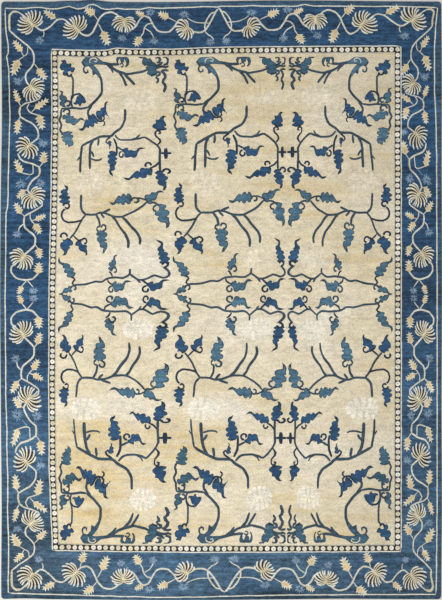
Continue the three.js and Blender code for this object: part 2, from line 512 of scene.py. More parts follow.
def rimmed(drawing, line, half, rim, trim=(1, -1), yarn="cloud"):
    """A blue strip of changing width inside a darker rim."""
    line = smooth(line, step=1.8)
    half = np.interp(np.linspace(0, 1, len(line)), np.linspace(0, 1, len(half)), half)
    drawing.ribbon(line, half, half, "slate")
    inner = slice(*trim)
    drawing.ribbon(line[inner], np.maximum(half[inner] - rim, 0.2), np.maximum(half[inner] - rim, 0.2), yarn)


def scroll_head(drawing):
    """The great branch's scrolled head in the outer corner, with a pale scroll in it and a flame below."""
    stem(drawing, ((27.4, 9), (26.2, 12), (27.4, 14.8), (29.8, 15.2), (31.6, 13.4), (30.8, 12)), 2.0)
    drawing.cut(((35.4, 10.6), (36.2, 17.4), (40.6, 15.4)), [[0, 1, 2]], "slate")
    rimmed(drawing, ((32.5, 7), (37.5, 10.6), (42, 15), (44.6, 19)), (1.6, 2.5, 2.3, 1.4), 0.8, yarn="corner")
    rimmed(drawing, ((25.6, 7.6), (28.6, 5.4), (33, 3.4), (40, 3.6), (46, 5.4), (53, 6.8)),
           (2.8, 4.8, 4.8, 3.0, 1.4, 1.1), 0.9, (1, -2), "corner")
    pale_scroll = ((33.2, 6), (33.2, 2.8), (35.6, 1.2), (39.4, 1.2), (41.4, 2.8), (40.2, 4.6), (38, 3.8))
    stem(drawing, pale_scroll, 1.0, "field")


def ram_horns(drawing):
    """Two thick horns that curl apart from one bud under the head of the field, over a ring."""
    outer_horn = ((71, -0.4), (67.6, 0), (65.4, 2.6), (65.8, 6))
    inner_horn = ((71.6, -0.4), (75.4, 0.6), (77.2, 4.2), (77, 7.6), (75, 9.4))
    bud = ((71.2, -0.4), (71.4, 2.6), (71.8, 5.4))
    rimmed(drawing, outer_horn, (1.7, 1.8, 0.8), 0.9, (0, -2))
    rimmed(drawing, inner_horn, (1.7, 1.8, 0.7), 0.9, (0, -2))
    rimmed(drawing, bud, (2.4, 2.8, 1.8), 0.7, (0, -1))
    scroll(drawing, (68.4, 7.4), 290, 2.3, 320, 1.7, "slate", "field")


def cloud_flower(drawing):
    """A cloud-like flower at the head of the field's inner edge, with curls beside it and wavy tails."""
    for line in (
        ((103, 1.4), (105.6, -0.4), (107.6, 1.8), (107, 4.6), (104.6, 5.2)),
        ((109.6, 0), (112.8, 0), (114.2, 3.4), (113.2, 6.6), (110.4, 7.2)),
        ((102.4, 11.8), (105.6, 9.8), (109, 8.6), (112, 9.6), (114.8, 8.6)),
        ((98.8, 18), (101.6, 14.8), (104, 12)),
        ((103.6, 8.4), (107.4, 7.2), (109.6, 4.6)),
        ((109.4, 12.4), (112.6, 12.2), (115, 12.8)),
        ((106, 13.2), (108.4, 15.8), (103.8, 18.6), (106.8, 21), (104.6, 24.4)),
        ((108.6, 12.8), (111.4, 15.4), (112.2, 18.8), (109.8, 23), (112.4, 26.6), (110.6, 32.8)),
    ):
        stem(drawing, line, 2.4)
    leaf(drawing, (101.4, 17.6), (98.2, 6.4), (86.6, 0.2), 11.5, 3, "cloud", 0.22, -1)


def cross_bud(drawing):
    """A small barred bud that stands out from the inner vine."""
    stem(drawing, ((110.3, 89.6), (110.3, 100.6)), 2.9, "ink")
    stem(drawing, ((106.4, 95), (115.4, 95)), 2.4, "ink")


WIDEST_STALK = 2.7
STALK_SWELL = 1.18  # how much wider a stalk is knotted than charted
CURL_WIDTH = 2.3
CURL_SWELL = 0.6


def field_branch():
    """One branch of the field, as charted."""
    drawing = Drawing()
    for row in BLOSSOMS:
        blossom(drawing, row.centre, row.width, row.height)
    for row in STALKS:
        stem(drawing, row.points, min(STALK_SWELL * row.width, WIDEST_STALK), row.yarn)
    scroll_head(drawing)
    ram_horns(drawing)
    cloud_flower(drawing)
    cross_bud(drawing)
    for row in LEAVES:
        leaf(drawing, *row)
    for row in SCROLLS:
        radius = row.radius + CURL_SWELL
        scroll(drawing, row.start, row.heading, radius, row.turn, CURL_WIDTH, row.yarn, "field")
    return drawing


# Where the six branches lie. The knotter let them drift: each row gives where the charted stations came
# out, then how far the stalks around some charted places strayed further, across the rug (shift) and down
# it (lower).
ACROSS_STATIONS = (0, 8.8, 14.7, 46.5, 74.5, 105.6, 114.3)
DOWN_STATIONS = (0, 47, 75.5, 95, 155, 223, 237)
HEAD_DOWN = (57, 104, 132.5, 152, 212, 280, 294)
FOOT_DOWN = (543.5, 492.4, 459.3, 437.9, 378.3, 308, 294)
Branch = namedtuple("Branch", "name blossom corner across down drifts")
Drift = namedtuple("Drift", "across down reach_across reach_down shift lower", defaults=(0,))
BRANCHES = (
    Branch(
        "head left", "faint", "sky", (57.5, 66.9, 73, 102, 124.8, 159.7, 171.5),
        (57, 107.8, 136.4, 153.2, 214, 281, 294),
        (Drift(50, 180, 15, 25, -3), Drift(91, 143, 12, 15, 2.8), Drift(113, 20, 12, 40, -3.2)),
    ),
    Branch(
        "head middle", "faint", "sky", (172, 180.8, 186.7, 218.5, 246.5, 277.6, 286.3), HEAD_DOWN,
        (Drift(113, 20, 8, 30, -1),),
    ),
    Branch(
        "head right", "faint", "sky", (393.3, 383.6, 376.7, 349.2, 325.3, 297.8, 286.3), HEAD_DOWN,
        (Drift(26, 130, 14, 50, 3.3), Drift(50, 180, 14, 20, 2.4), Drift(112, 20, 12, 70, 2.6)),
    ),
    Branch(
        "foot left", "blossom", "cloud", (57.5, 67, 71.9, 100.4, 131.8, 157.6, 171.5), FOOT_DOWN,
        (Drift(27, 112, 12, 38, -5.8), Drift(62, 195, 34, 42, -6.5), Drift(88, 115, 14, 20, -2.5),
         Drift(90, 38, 26, 18, 0, -2.2), Drift(15, 47, 26, 10, 0, 1.6)),
    ),
    Branch(
        "foot middle", "blossom", "cloud", (172, 182, 187.9, 218.5, 248.2, 274.3, 286.3), FOOT_DOWN,
        (Drift(28, 112, 13, 36, -5.7), Drift(50, 180, 14, 30, -6), Drift(79, 188, 14, 38, -4.2),
         Drift(108, 157, 12, 16, 2.6), Drift(113, 20, 8, 30, -0.8), Drift(96, 40, 26, 22, 0, -4.6),
         Drift(66, 6, 12, 8, 2.6, -2.4)),
    ),
    Branch(
        "foot right", "blossom", "cloud", (393.3, 384.5, 378.6, 345.7, 317.5, 294.6, 286.3), FOOT_DOWN,
        (Drift(28, 112, 14, 38, 4.8), Drift(50, 180, 14, 22, 3.5), Drift(78, 160, 24, 60, 6.2),
         Drift(113, 20, 8, 30, 0.8), Drift(96, 40, 26, 22, 0, -4.6), Drift(66, 6, 12, 8, -2.6, -2.4),
         Drift(28, 44, 26, 16, 0, -2.8)),
    ),
)


def on_branch(branch):
    """Moves charted points to where one branch of the field lies."""
    def move(points):
        x = np.interp(points[:, 0], ACROSS_STATIONS, branch.across)
        y = np.interp(points[:, 1], DOWN_STATIONS, branch.down)
        for row in branch.drifts:
            away = ((points[:, 0] - row.across) / row.reach_across) ** 2
            near = np.exp(-away - ((points[:, 1] - row.down) / row.reach_down) ** 2)
            x = x + row.shift * near
            y = y + row.lower * near
        return np.stack((x, y), axis=1)

    return move


# The border's vine, charted for the corner at the left of the head. Its two arms run from the corner to the
# middle of the head and of the left side, and each is worked again, mirrored, in the other corners.

Vine = namedtuple("Vine", "width points yarn", defaults=("ivory",))
HEAD_VINE = (
    Vine(2.2, ((35, 26), (40.5, 30.4), (44.5, 30.4), (51, 26), (57.5, 20), (64, 19.3), (71, 25))),
    Vine(2.4, ((78, 30.5), (82, 34.6), (88, 36), (92.5, 33), (96, 26), (99, 19.5), (104, 14),
               (111, 12.2), (116, 14), (122, 19.5))),
    Vine(2.4, ((131, 30), (136, 26.5), (139.5, 20), (144, 16), (149.5, 18), (153, 24.5), (157, 30.5),
               (161, 32.2), (169, 32), (174.5, 27), (178.5, 20.4), (182, 19.8), (186, 25), (190.5, 30.5),
               (195, 32.3), (201, 32.6), (205, 30.6), (209.5, 24), (213.5, 16.5), (216.4, 10.8),
               (219, 9.2))),
    Vine(1.9, ((205, 31), (205, 24.5), (207.6, 18.5), (211.6, 13.2), (215.6, 12.2))),
    Vine(1.3, ((187, 18), (191, 20.6), (197, 22.8), (209.5, 23.2))),
    Vine(1.5, ((205, 31.5), (207.6, 34.8), (211.4, 36.8), (213.6, 39.6))),
    Vine(1.3, ((43.5, 31), (44.2, 34.5), (42.8, 37))),
    Vine(1.3, ((55.6, 19), (57.6, 20))),
    Vine(1.3, ((93, 13.6), (98.4, 20.6))),
    Vine(1.4, ((98.6, 24), (103, 32.5))),
    Vine(1.3, ((130, 31), (126.5, 35.4)), "mist"),
    Vine(1.4, ((143.4, 15.4), (145.5, 16.6))),
    Vine(1.4, ((168, 17.8), (176, 21.8))),
    Vine(1.6, ((153, 23.6), (148, 24), (144.4, 28), (143.4, 33), (140.4, 37.6))),
    Vine(1.4, ((144.6, 28.2), (151, 32.4), (154.4, 38.4))),
)
SIDE_VINE = (
    Vine(2.0, ((29, 20), (23.5, 15.6), (18.5, 12.2))),
    Vine(3.0, ((18.5, 12.2), (13.4, 11.8), (9.8, 14.8), (9.4, 22), (9.7, 30.6)), "cream"),
    Vine(2.2, ((9.7, 30.6), (16, 36.5), (28, 46), (33, 51.4), (34, 57), (33.8, 63), (31.5, 67.5),
               (26.4, 73), (25.6, 77), (26.4, 82), (30, 86.4))),
    Vine(2.0, ((37, 93.6), (40.6, 96.4), (40.2, 98.6), (33, 101.6), (25, 103.6), (20.8, 107))),
    Vine(2.6, ((20.8, 106.5), (19.6, 112), (20.4, 117.4)), "cream"),
    Vine(2.2, ((20.4, 117), (26, 120.5), (32.6, 123.6), (37.6, 130), (38.6, 137.4), (34, 141.4),
               (30, 144.4))),
    Vine(2.2, ((18, 153.6), (19.6, 158), (23.5, 161.4), (32, 163.6), (39, 167))),
    Vine(2.6, ((39, 166.6), (39.8, 171), (39, 175.6)), "cream"),
    Vine(2.2, ((39, 175.4), (32.6, 180.4), (28.6, 186.4), (27.6, 190.4), (30.6, 194))),
    Vine(2.0, ((41.5, 201.4), (42.5, 205.4), (34, 211.2), (24.6, 216))),
    Vine(2.4, ((24.6, 215.8), (23.8, 221), (25, 227.4), (33.6, 234.6), (35.6, 238), (35, 245),
               (29.4, 250.4), (24, 255))),
    Vine(2.4, ((15.4, 263.6), (11.6, 267), (11.4, 272.4), (16.4, 278), (25.6, 280.2), (32.6, 279),
               (38.4, 273.4))),
    Vine(1.4, ((28, 47), (27.6, 53.4), (24, 56.4), (21.4, 52))),
    Vine(1.3, ((24, 56.4), (19, 60))),
    Vine(1.4, ((34.4, 64), (39, 69.4))),
    Vine(1.3, ((25, 76.6), (21.4, 79)), "mist"),
    Vine(1.4, ((20.8, 106), (18, 101.6))),
    Vine(1.7, ((29.6, 103.6), (27, 107.6), (30, 112.6), (39, 115.6))),
    Vine(1.3, ((31.6, 112.4), (36, 108))),
    Vine(1.4, ((20.4, 117), (18.6, 120.6))),
    Vine(1.4, ((38.4, 137.4), (41, 140.4)), "mist"),
    Vine(1.4, ((33, 164), (33, 174), (29, 174.6), (22, 173))),
    Vine(1.3, ((39.6, 167), (43, 163))),
    Vine(1.3, ((30.6, 175.4), (25.6, 180)), "mist"),
    Vine(1.3, ((37, 177), (39, 180)), "mist"),
    Vine(1.3, ((27.6, 190), (24, 191))),
    Vine(1.4, ((24.4, 216), (21, 213))),
    Vine(1.4, ((30.4, 213), (30, 218), (32, 221.4), (35, 224.6))),
    Vine(1.3, ((31.8, 221), (36, 219.6))),
    Vine(1.8, ((23.6, 223.8), (19.4, 227.6), (18.6, 231.4))),
    Vine(1.4, ((35.6, 245), (38.4, 248.6))),
    Vine(1.4, ((26.4, 281), (21.6, 286.4))),
    Vine(1.4, ((27.6, 281), (33, 287))),
)

Chrysanthemum = namedtuple("Chrysanthemum", "root heading reach petals")
HEAD_FLOWERS = (
    Chrysanthemum((33.0, 26.0), 232, 16.0, 7),
    Chrysanthemum((78.0, 30.4), 226, 15.5, 7),
    Chrysanthemum((124.3, 20.0), 94, 13.5, 7),
    Chrysanthemum((187.5, 28.0), 148, 12.5, 6),
)
SIDE_FLOWERS = (
    Chrysanthemum((30.8, 87.0), 42, 14.5, 7),
    Chrysanthemum((29.8, 145.0), 134, 14.5, 6),
    Chrysanthemum((30.8, 194.6), 52, 15.0, 7),
    Chrysanthemum((24.0, 255.8), 126, 14.5, 7),
)

Spray = namedtuple("Spray", "base tip width")
HEAD_SPRAYS = (
    Spray((55.4, 18.4), (43.6, 10.6), 7.5),
    Spray((94.4, 14.6), (85, 8.2), 9.5),
    Spray((102.6, 31.6), (108.8, 45.6), 9.5),
    Spray((144, 15.8), (135.4, 11.6), 6.5),
    Spray((168.6, 17.8), (158, 13), 8.5),
    Spray((140.6, 37), (135.2, 46.6), 9.0),
)
FOOT_STALK = Vine(1.4, ((81.4, 35), (82.6, 40)))
FOOT_SPRAY = Spray((82.4, 39.6), (86.2, 50.4), 8.5)
SIDE_SPRAYS = (
    Spray((22, 51.6), (13.2, 40.4), 7.5),
    Spray((18.8, 60), (12.2, 75.6), 10.0),
    Spray((37.6, 69), (46.6, 79.8), 8.5),
    Spray((19, 102.6), (14.6, 89.4), 6.5),
    Spray((35, 108.6), (48.8, 99), 7.0),
    Spray((39, 115), (42.6, 130), 9.0),
    Spray((18.8, 120), (17, 134.6), 8.0),
    Spray((43.2, 163.4), (44.4, 151.4), 9.0),
    Spray((21.6, 173.2), (15.2, 159), 7.5),
    Spray((24.8, 190), (17, 198.6), 7.0),
    Spray((21.2, 213.6), (15, 202.6), 8.0),
    Spray((35.4, 220), (46.4, 214.8), 6.5),
    Spray((34.6, 224.2), (40.8, 233.8), 8.5),
    Spray((38.2, 248), (40.6, 258.8), 8.5),
    Spray((38.2, 273.6), (39.2, 262), 9.5),
    Spray((22.2, 286), (18.2, 295), 6.5),
)

Sprig = namedtuple("Sprig", "centre size")
HEAD_SPRIGS = (
    Sprig((39.6, 40.6), 4.6),
    Sprig((122, 38), 4.4),
    Sprig((150.5, 12.4), 4.6),
    Sprig((154, 41), 4.4),
    Sprig((184, 14.6), 4.8),
    Sprig((210.4, 42), 4.4),
)
SIDE_SPRIGS = (
    Sprig((18, 81.4), 5.0),
    Sprig((43.2, 143.4), 4.6),
    Sprig((20.6, 184), 5.4),
    Sprig((40.6, 183), 4.8),
    Sprig((17.4, 234.4), 4.6),
    Sprig((33.8, 291), 4.4),
)


VINE_WIDTH = 0.7  # how much narrower a vine is knotted than charted
VINE_TONE = 0.9


def border_arm(vine, flowers, sprays, sprigs, seed):
    """One arm of the border's vine, as charted."""
    drawing = Drawing()
    for place, row in enumerate(sprigs):
        sprig(drawing, row.centre, row.size, seed + place)
    for row in vine:
        stem(drawing, row.points, VINE_WIDTH * row.width, row.yarn, VINE_TONE)
    for row in sprays:
        spray(drawing, row.base, row.tip, row.width)
    for row in flowers:
        chrysanthemum(drawing, *row)
    return drawing


# Where the border's arms lie. Stations are charted places along an arm, the corner line and the flowers
# first to last; each row gives where they came out, along the arm and across it.
Arm = namedtuple("Arm", "name way along across")
HEAD_STATIONS = (8, 33, 75.4, 90, 124.7, 184, 218.6)
HEAD_LEVELS = (8.7, 24, 28, 26.5, 23, 31, 30)
HEAD_ARMS = (
    Arm("head left", 1.0, HEAD_STATIONS, HEAD_LEVELS),
    Arm("head right", 1.0, (435, 412, 363.4, 349, 314.7, 251.3, 218.6),
            (6.5, 19.7, 22.6, 25, 20.4, 29, 29.4)),
)
FOOT_ARMS = (
    Arm("foot left", -1.0, (8, 32.4, 74, 88.8, 124, 183, 224.2), (593.3, 575.5, 574, 575.2, 578, 570, 571)),
    Arm("foot right", -1.0, (436, 410.6, 376.7, 361.5, 325.3, 266, 224.2),
            (594.3, 576, 574, 575.7, 579.7, 568.4, 571)),
)
SIDE_STATIONS = (8.7, 24, 89, 147, 196, 261, 294)
SIDE_LEVELS = (8, 33, 34, 25.4, 37, 21, 26)
SIDE_ARMS = (
    Arm("head left", 1.0, SIDE_STATIONS, SIDE_LEVELS),
    Arm("head right", -0.86, (6.5, 19.7, 84.6, 135, 194.5, 258.5, 294),
            (436.4, 412, 411, 419, 414, 424, 420)),
    Arm("foot left", 1.0, (593.3, 575.5, 522.6, 461, 400, 330, 295), (10.6, 35.4, 33, 23, 33, 21, 26)),
    Arm("foot right", -0.86, (594.3, 576, 515.6, 456.4, 400, 329.7, 295),
            (436, 410.6, 416, 422.6, 414.5, 425.4, 420)),
)


def on_arm(arm, stations, levels, axis):
    """Moves charted points to where one arm of the border lies. Axis 0 runs along the head, 1 down a side."""
    shifts = np.array(arm.across) - arm.way * np.array(levels)

    def move(points):
        moved = np.empty_like(points)
        moved[:, axis] = np.interp(points[:, axis], stations, arm.along)
        moved[:, 1 - axis] = arm.way * points[:, 1 - axis] + np.interp(points[:, axis], stations, shifts)
        return moved

    return move


# The straight lines of the frame, one inside the other. Each side is (place along it, distance from the
# chart's left or head edge); the hand let them wander.
OUTER_LINE = {
    "left": ((9, 5), (30, 6), (45, 8.2), (53, 8.5), (56, 6.5), (70, 9), (120, 10), (150, 9), (175, 8.5),
             (205, 8), (213, 6.3), (237, 5.8), (300, 5.3), (350, 5.7), (400, 6), (430, 7), (460, 7.2),
             (480, 8), (510, 7.5), (540, 8.8), (593, 8.3)),
    "head": ((5, 8.6), (25, 8.6), (33, 7.7), (41, 7.7), (48, 8.9), (58, 9), (64, 7.4), (69, 6.3),
             (77, 9.2), (84, 8.4), (89, 4.8), (95, 4.5), (103, 9.4), (110, 9.6), (117, 8.4), (126, 9.4),
             (140, 9.5), (150, 7.7), (160, 8.6), (185, 7.7), (210, 6.8), (218, 7.5), (222, 6.4),
             (244, 6.5), (252, 5.4), (260, 6.4), (296, 6.4), (305, 4.7), (314, 6.3), (400, 6.6),
             (437, 7.6)),
    "right": ((8, 437.4), (29, 435.4), (50, 434.4), (90, 434.4), (125, 435.9), (150, 436.4), (300, 437),
              (450, 437), (500, 437), (594, 436)),
    "foot": ((9, 593), (60, 594.4), (100, 595.6), (150, 597), (190, 597), (235, 595.8), (290, 594.8),
             (436, 594.2)),
}
INNER_LINE = {
    "left": ((50, 51.4), (120, 52), (200, 51), (300, 49), (400, 48.8), (470, 49.4), (550, 52.6)),
    "head": ((51, 49.6), (90, 50.6), (106, 50.4), (117, 48), (130, 49.2), (170, 49.2), (220, 47.4),
             (300, 46.6), (400, 46.2)),
    "right": ((46, 400.9), (300, 401.2), (552, 401)),
    "foot": ((51, 550.1), (120, 551.4), (200, 552.2), (300, 551.8), (401, 551.3)),
}


def frame_loop(line, inset, step=4.0):
    """The closed loop of a frame line, moved inwards by an inset, as its four sides in order."""
    left, head, right, foot = ([np.array(column, float) for column in zip(*line[side])]
                               for side in ("left", "head", "right", "foot"))

    def corner(upright, level):
        x = upright[1][0] if level is head else upright[1][-1]
        y = np.interp(x, *level)
        return np.interp(y, *upright), y

    x0, y0 = corner(left, head)
    x1, y1 = corner(right, head)
    x2, y2 = corner(right, foot)
    x3, y3 = corner(left, foot)

    def across(side, start, end, shift):
        x = np.linspace(start + math.copysign(inset, end - start), end - math.copysign(inset, end - start),
                        round(abs(end - start) / step) + 1)
        return np.stack((x, np.interp(x, *side) + shift), axis=1)

    def down(side, start, end, shift):
        y = np.linspace(start + math.copysign(inset, end - start), end - math.copysign(inset, end - start),
                        round(abs(end - start) / step) + 1)
        return np.stack((np.interp(y, *side) + shift, y), axis=1)

    return (
        across(head, x0, x1, inset),
        down(right, y1, y2, -inset),
        across(foot, x2, x3, -inset),
        down(left, y3, y0, inset),
    )


def fill_loop(drawing, line, inset, yarn):
    """Fills everything inside a frame line, moved inwards by an inset."""
    sides = frame_loop(line, inset)
    drawing.shape(np.concatenate([side[:-1] for side in sides]), yarn)


LINE_WIDTH = 1.1
GUARD_WIDTH = 5.5
PEARL_INSET = 3.4
PEARLS_ACROSS = 55
PEARLS_DOWN = 88
GUARD_EDGE_WIDTH = 1.1


def pearl_guard(drawing, draw):
    """A row of pale beads, each with a ring and an eye, set around the dark guard."""
    sides = frame_loop(INNER_LINE, PEARL_INSET)
    for side, count in zip(sides, (PEARLS_ACROSS, PEARLS_DOWN, PEARLS_ACROSS, PEARLS_DOWN)):
        for place in range(count):
            share = place / count * (len(side) - 1)
            whole = int(share)
            centre = side[whole] + (share - whole) * (side[whole + 1] - side[whole])
            centre = centre + (draw.uniform(-0.25, 0.25), draw.uniform(-0.25, 0.25))
            yarn = draw.choice(("ivory", "blossom", "cream"))
            tone = draw.uniform(0.96, 1.12)
            disc(drawing, centre, 2.35, 2.3, yarn, sides=10, tone=tone)
            disc(drawing, centre, 0.75, 0.7, "edge", sides=6)


CHART_SEED = 27
HEAD_SPRIG_SEED = 1
SIDE_SPRIG_SEED = 9


def whole_chart(wobble):
    """The whole rug's drawing, from the plain band in."""
    draw = random.Random(CHART_SEED)
    drawing = Drawing()
    fill_loop(drawing, OUTER_LINE, -LINE_WIDTH / 2, "ivory")
    fill_loop(drawing, OUTER_LINE, LINE_WIDTH / 2, "ground")
    head = border_arm(HEAD_VINE, HEAD_FLOWERS, HEAD_SPRAYS, HEAD_SPRIGS, HEAD_SPRIG_SEED)
    foot_vine = HEAD_VINE + (FOOT_STALK,)
    foot_sprays = HEAD_SPRAYS + (FOOT_SPRAY,)
    foot = border_arm(foot_vine, HEAD_FLOWERS, foot_sprays, HEAD_SPRIGS, HEAD_SPRIG_SEED)
    side = border_arm(SIDE_VINE, SIDE_FLOWERS, SIDE_SPRAYS, SIDE_SPRIGS, SIDE_SPRIG_SEED)
    for places, charted, stations, levels, axis in (
        (HEAD_ARMS, head, HEAD_STATIONS, HEAD_LEVELS, 0),
        (FOOT_ARMS, foot, HEAD_STATIONS, HEAD_LEVELS, 0),
        (SIDE_ARMS, side, SIDE_STATIONS, SIDE_LEVELS, 1),
    ):
        for arm in places:
            drawing.place(charted, on_arm(arm, stations, levels, axis), draw)
    fill_loop(drawing, INNER_LINE, -LINE_WIDTH / 2, "ivory")
    fill_loop(drawing, INNER_LINE, LINE_WIDTH / 2, "bark")
    pearl_guard(drawing, draw)
    fill_loop(drawing, INNER_LINE, LINE_WIDTH / 2 + GUARD_WIDTH, "edge")
    fill_loop(drawing, INNER_LINE, LINE_WIDTH / 2 + GUARD_WIDTH + GUARD_EDGE_WIDTH, "field")
    charted = field_branch()
    for branch in BRANCHES:
        drawing.place(charted, on_branch(branch), draw, {"blossom": branch.blossom, "corner": branch.corner})
    knotted = Drawing()
    knotted.patches = [
        patch._replace(points=patch.points + stray(patch.points, wobble)) for patch in drawing.patches
    ]
    return knotted


STRAY_SPAN = 9  # squares over which the hand strays one way and back
STRAY_LAYERS = (1.3, 7.7)  # the layers of noise that stray across the chart and down it


def stray(points, wobble):
    """How far the hand strays from the chart at each point."""
    near = points / STRAY_SPAN
    moves = [[noise.noise(Vector((x, y, layer))) for layer in STRAY_LAYERS] for x, y in near]
    return wobble * np.array(moves)


# Where the field has yellowed or bleached, where grey is laid over it as painted shade down its right side
# and across its head, and where the blues were dyed deeper: soft round places, in squares of the chart.
WearAndShade = namedtuple("WearAndShade", "x y across down amount")
YELLOWED = (
    WearAndShade(100, 470, 52, 44, 0.75),
    WearAndShade(95, 431, 55, 7, 0.6),
    WearAndShade(186, 445, 32, 18, 0.55),
    WearAndShade(90, 522, 52, 20, 0.5),
    WearAndShade(215, 428, 24, 6, 0.45),
    WearAndShade(262, 72, 66, 22, 0.45),
    WearAndShade(255, 110, 62, 12, 0.4),
    WearAndShade(170, 70, 20, 9, 0.4),
    WearAndShade(300, 190, 62, 9, 0.45),
    WearAndShade(215, 264, 36, 9, 0.5),
    WearAndShade(360, 252, 30, 14, 0.45),
    WearAndShade(130, 205, 60, 12, 0.3),
    WearAndShade(300, 520, 80, 18, 0.3),
)
BLEACHED = (
    WearAndShade(122, 300, 55, 60, 0.8),
    WearAndShade(115, 406, 90, 13, 1.0),
    WearAndShade(222, 408, 50, 11, 0.9),
    WearAndShade(272, 330, 66, 36, 0.6),
    WearAndShade(140, 252, 30, 18, 0.5),
    WearAndShade(290, 470, 70, 40, 0.35),
)

DEEPER = (
    WearAndShade(12, 560, 60, 66, 1.0),
    WearAndShade(424, 292, 46, 46, 0.5),
    WearAndShade(8, 100, 30, 44, 0.5),
    WearAndShade(350, 598, 140, 5, 0.6),
)
# Painted shade: grey laid over the pale yarns down the field's right side and across its head, where less
# light falls.
PAINTED_SHADE = (
    WearAndShade(388, 120, 56, 110, 1.0),
    WearAndShade(392, 470, 50, 120, 0.9),
    WearAndShade(230, 82, 110, 26, 0.3),
)
WEARS_AND_SHADE = (("yellowed", YELLOWED), ("bleached", BLEACHED), ("deeper", DEEPER), ("soiled", PAINTED_SHADE))


def wear_and_shade_at(points, rows, square):
    """How strongly one kind of wear, given as rows of soft round places, shows at each point, from 0 to 1;
    the painted shade is given and weighed the same way.
    """
    x = points[:, 0] / square + CHART_WIDTH / 2
    y = CHART_LENGTH / 2 - points[:, 1] / square
    amounts = [
        row.amount * np.exp(-(((x - row.x) / row.across) ** 2) - ((y - row.y) / row.down) ** 2)
        for row in rows
    ]
    return np.clip(np.sum(amounts, axis=0), 0, 1)


# Knotting

def outline_rings(node):
    """The rug's solid as rings of points, one for each height, all anticlockwise from the same side."""
    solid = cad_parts[node]
    points = np.array([tuple(solid.matrix_world @ vertex.co) for vertex in solid.data.vertices])
    points = np.unique(points.round(6), axis=0)
    rings = []
    for height in np.unique(points[:, 2].round(5)):
        ring = points[np.abs(points[:, 2] - height) < 1e-5]
        ring = ring[np.argsort(np.arctan2(ring[:, 1], ring[:, 0]))]
        rings.append(ring)
    return rings


def metres(points, square):
    """Chart squares as metres about the middle of the rug."""
    x = (points[:, 0] - CHART_WIDTH / 2) * square
    y = (CHART_LENGTH / 2 - points[:, 1]) * square
    return np.stack((x, y), axis=1)


THINNEST_CELL = 0.0002
NEAREST_PATTERN = 0.004
DECIMALS = 5  # of a metre, to which the points that are cut are rounded
CUT_TOLERANCE = 0.000001
AREA_SLACK = 0.0002  # square metres by which the surface may miss its rim's area
LEAST_FOUND = 0.95  # share of the patches that must show
GRID_SEED = 5
GRID_JITTER = 0.3


def twice_area(corners):
    """Twice the area that a polygon encloses, above zero if it runs anticlockwise."""
    x, y = corners[:, 0], corners[:, 1]
    return float(np.dot(x, np.roll(y, -1)) - np.dot(y, np.roll(x, -1)))


def anticlockwise_cells(moved, cell):
    """A patch's cell as polygons that run anticlockwise and never cross themselves."""
    if len(cell) == 4:
        turns = [twice_area(moved[[cell[i - 1], cell[i], cell[(i + 1) % 4]]]) for i in range(4)]
        if min(turns) <= 0 <= max(turns):
            halves = (cell[0], cell[1], cell[2]), (cell[0], cell[2], cell[3])
            return [whole for half in halves for whole in anticlockwise_cells(moved, list(half))]
    area = twice_area(moved[cell])
    longest = np.linalg.norm(moved[cell] - moved[np.roll(cell, 1)], axis=1).max()
    if abs(area) < longest * THINNEST_CELL:
        return []
    return [cell if area > 0 else cell[::-1]]


def edge_distance(points, ring):
    """How far each point lies from the nearest place on a ring."""
    nearest = np.full(len(points), np.inf)
    for start, end in zip(ring, np.roll(ring, -1, axis=0)):
        span = end - start
        share = np.clip((points - start) @ span / (span @ span), 0, 1)
        nearest = np.minimum(nearest, np.linalg.norm(points - start - share[:, None] * span, axis=1))
    return nearest


def cut_surface(rim, loose, patches, sizes):
    """A surface inside its rim, cut along every edge of the patches: points, triangles and the number of the
    patch that each lies in, from 1, with 0 for the plain band."""
    cells = [list(range(len(rim)))]
    owners = [0]
    pattern = []
    count = len(rim)
    for place, patch in enumerate(patches, start=1):
        moved = metres(patch.points, sizes.square)
        pattern.append(moved)
        for cell in patch.cells:
            for order in anticlockwise_cells(moved, cell):
                cells.append([count + i for i in order])
                owners.append(place)
        count += len(moved)
    pattern = np.concatenate(pattern)
    if edge_distance(pattern, rim).min() < NEAREST_PATTERN:
        raise RuntimeError("the pattern runs into the rug's edge")
    low = rim.min(axis=0) + sizes.mesh_step
    high = rim.max(axis=0) - sizes.mesh_step
    steps = ((high - low) / sizes.mesh_step).round().astype(int)
    ticks = [np.linspace(low[i], high[i], steps[i]) for i in (0, 1)]
    grid = np.stack(np.meshgrid(*ticks), axis=-1).reshape(-1, 2)
    grid += np.random.default_rng(GRID_SEED).uniform(-GRID_JITTER, GRID_JITTER, grid.shape) * sizes.mesh_step
    points = np.concatenate((rim, pattern, loose, grid)).round(DECIMALS)
    flat = [Vector(point) for point in points]
    made, _, triangles, _, _, sources = delaunay_2d_cdt(flat, [], cells, 1, CUT_TOLERANCE, True)
    top = np.array([tuple(point) for point in made])
    triangles = np.array(triangles)
    last = last_cells(top, triangles, sources, [points[cell] for cell in cells])
    triangles = triangles[last >= 0]
    found = np.array(owners)[last[last >= 0]]
    if abs(triangle_areas(top, triangles).sum() - twice_area(rim) / 2) > AREA_SLACK:
        raise RuntimeError("the surface doesn't fill its rim")
    if len(set(found.tolist())) < LEAST_FOUND * len(patches):
        raise RuntimeError("patches of the pattern were lost while they were cut")
    return top, triangles, found


def triangle_areas(points, triangles):
    """The area of each triangle."""
    first, second, third = (points[triangles[:, i]] for i in range(3))
    x, y = second - first, third - first
    return np.abs(x[:, 0] * y[:, 1] - x[:, 1] * y[:, 0]) / 2


def encloses(ring, points):
    """Which of the points lie inside a ring."""
    inside = np.zeros(len(points), bool)
    for start, end in zip(ring, np.roll(ring, -1, axis=0)):
        level = np.flatnonzero((start[1] > points[:, 1]) != (end[1] > points[:, 1]))
        share = (points[level, 1] - start[1]) / (end[1] - start[1]) if len(level) else 0
        inside[level] ^= points[level, 0] < start[0] + share * (end[0] - start[0])
    return inside


ASTRAY_SHARE = 1.5  # a cell whose triangles fill more than this many times its own area was cut astray
ASTRAY_SLACK = 0.00001


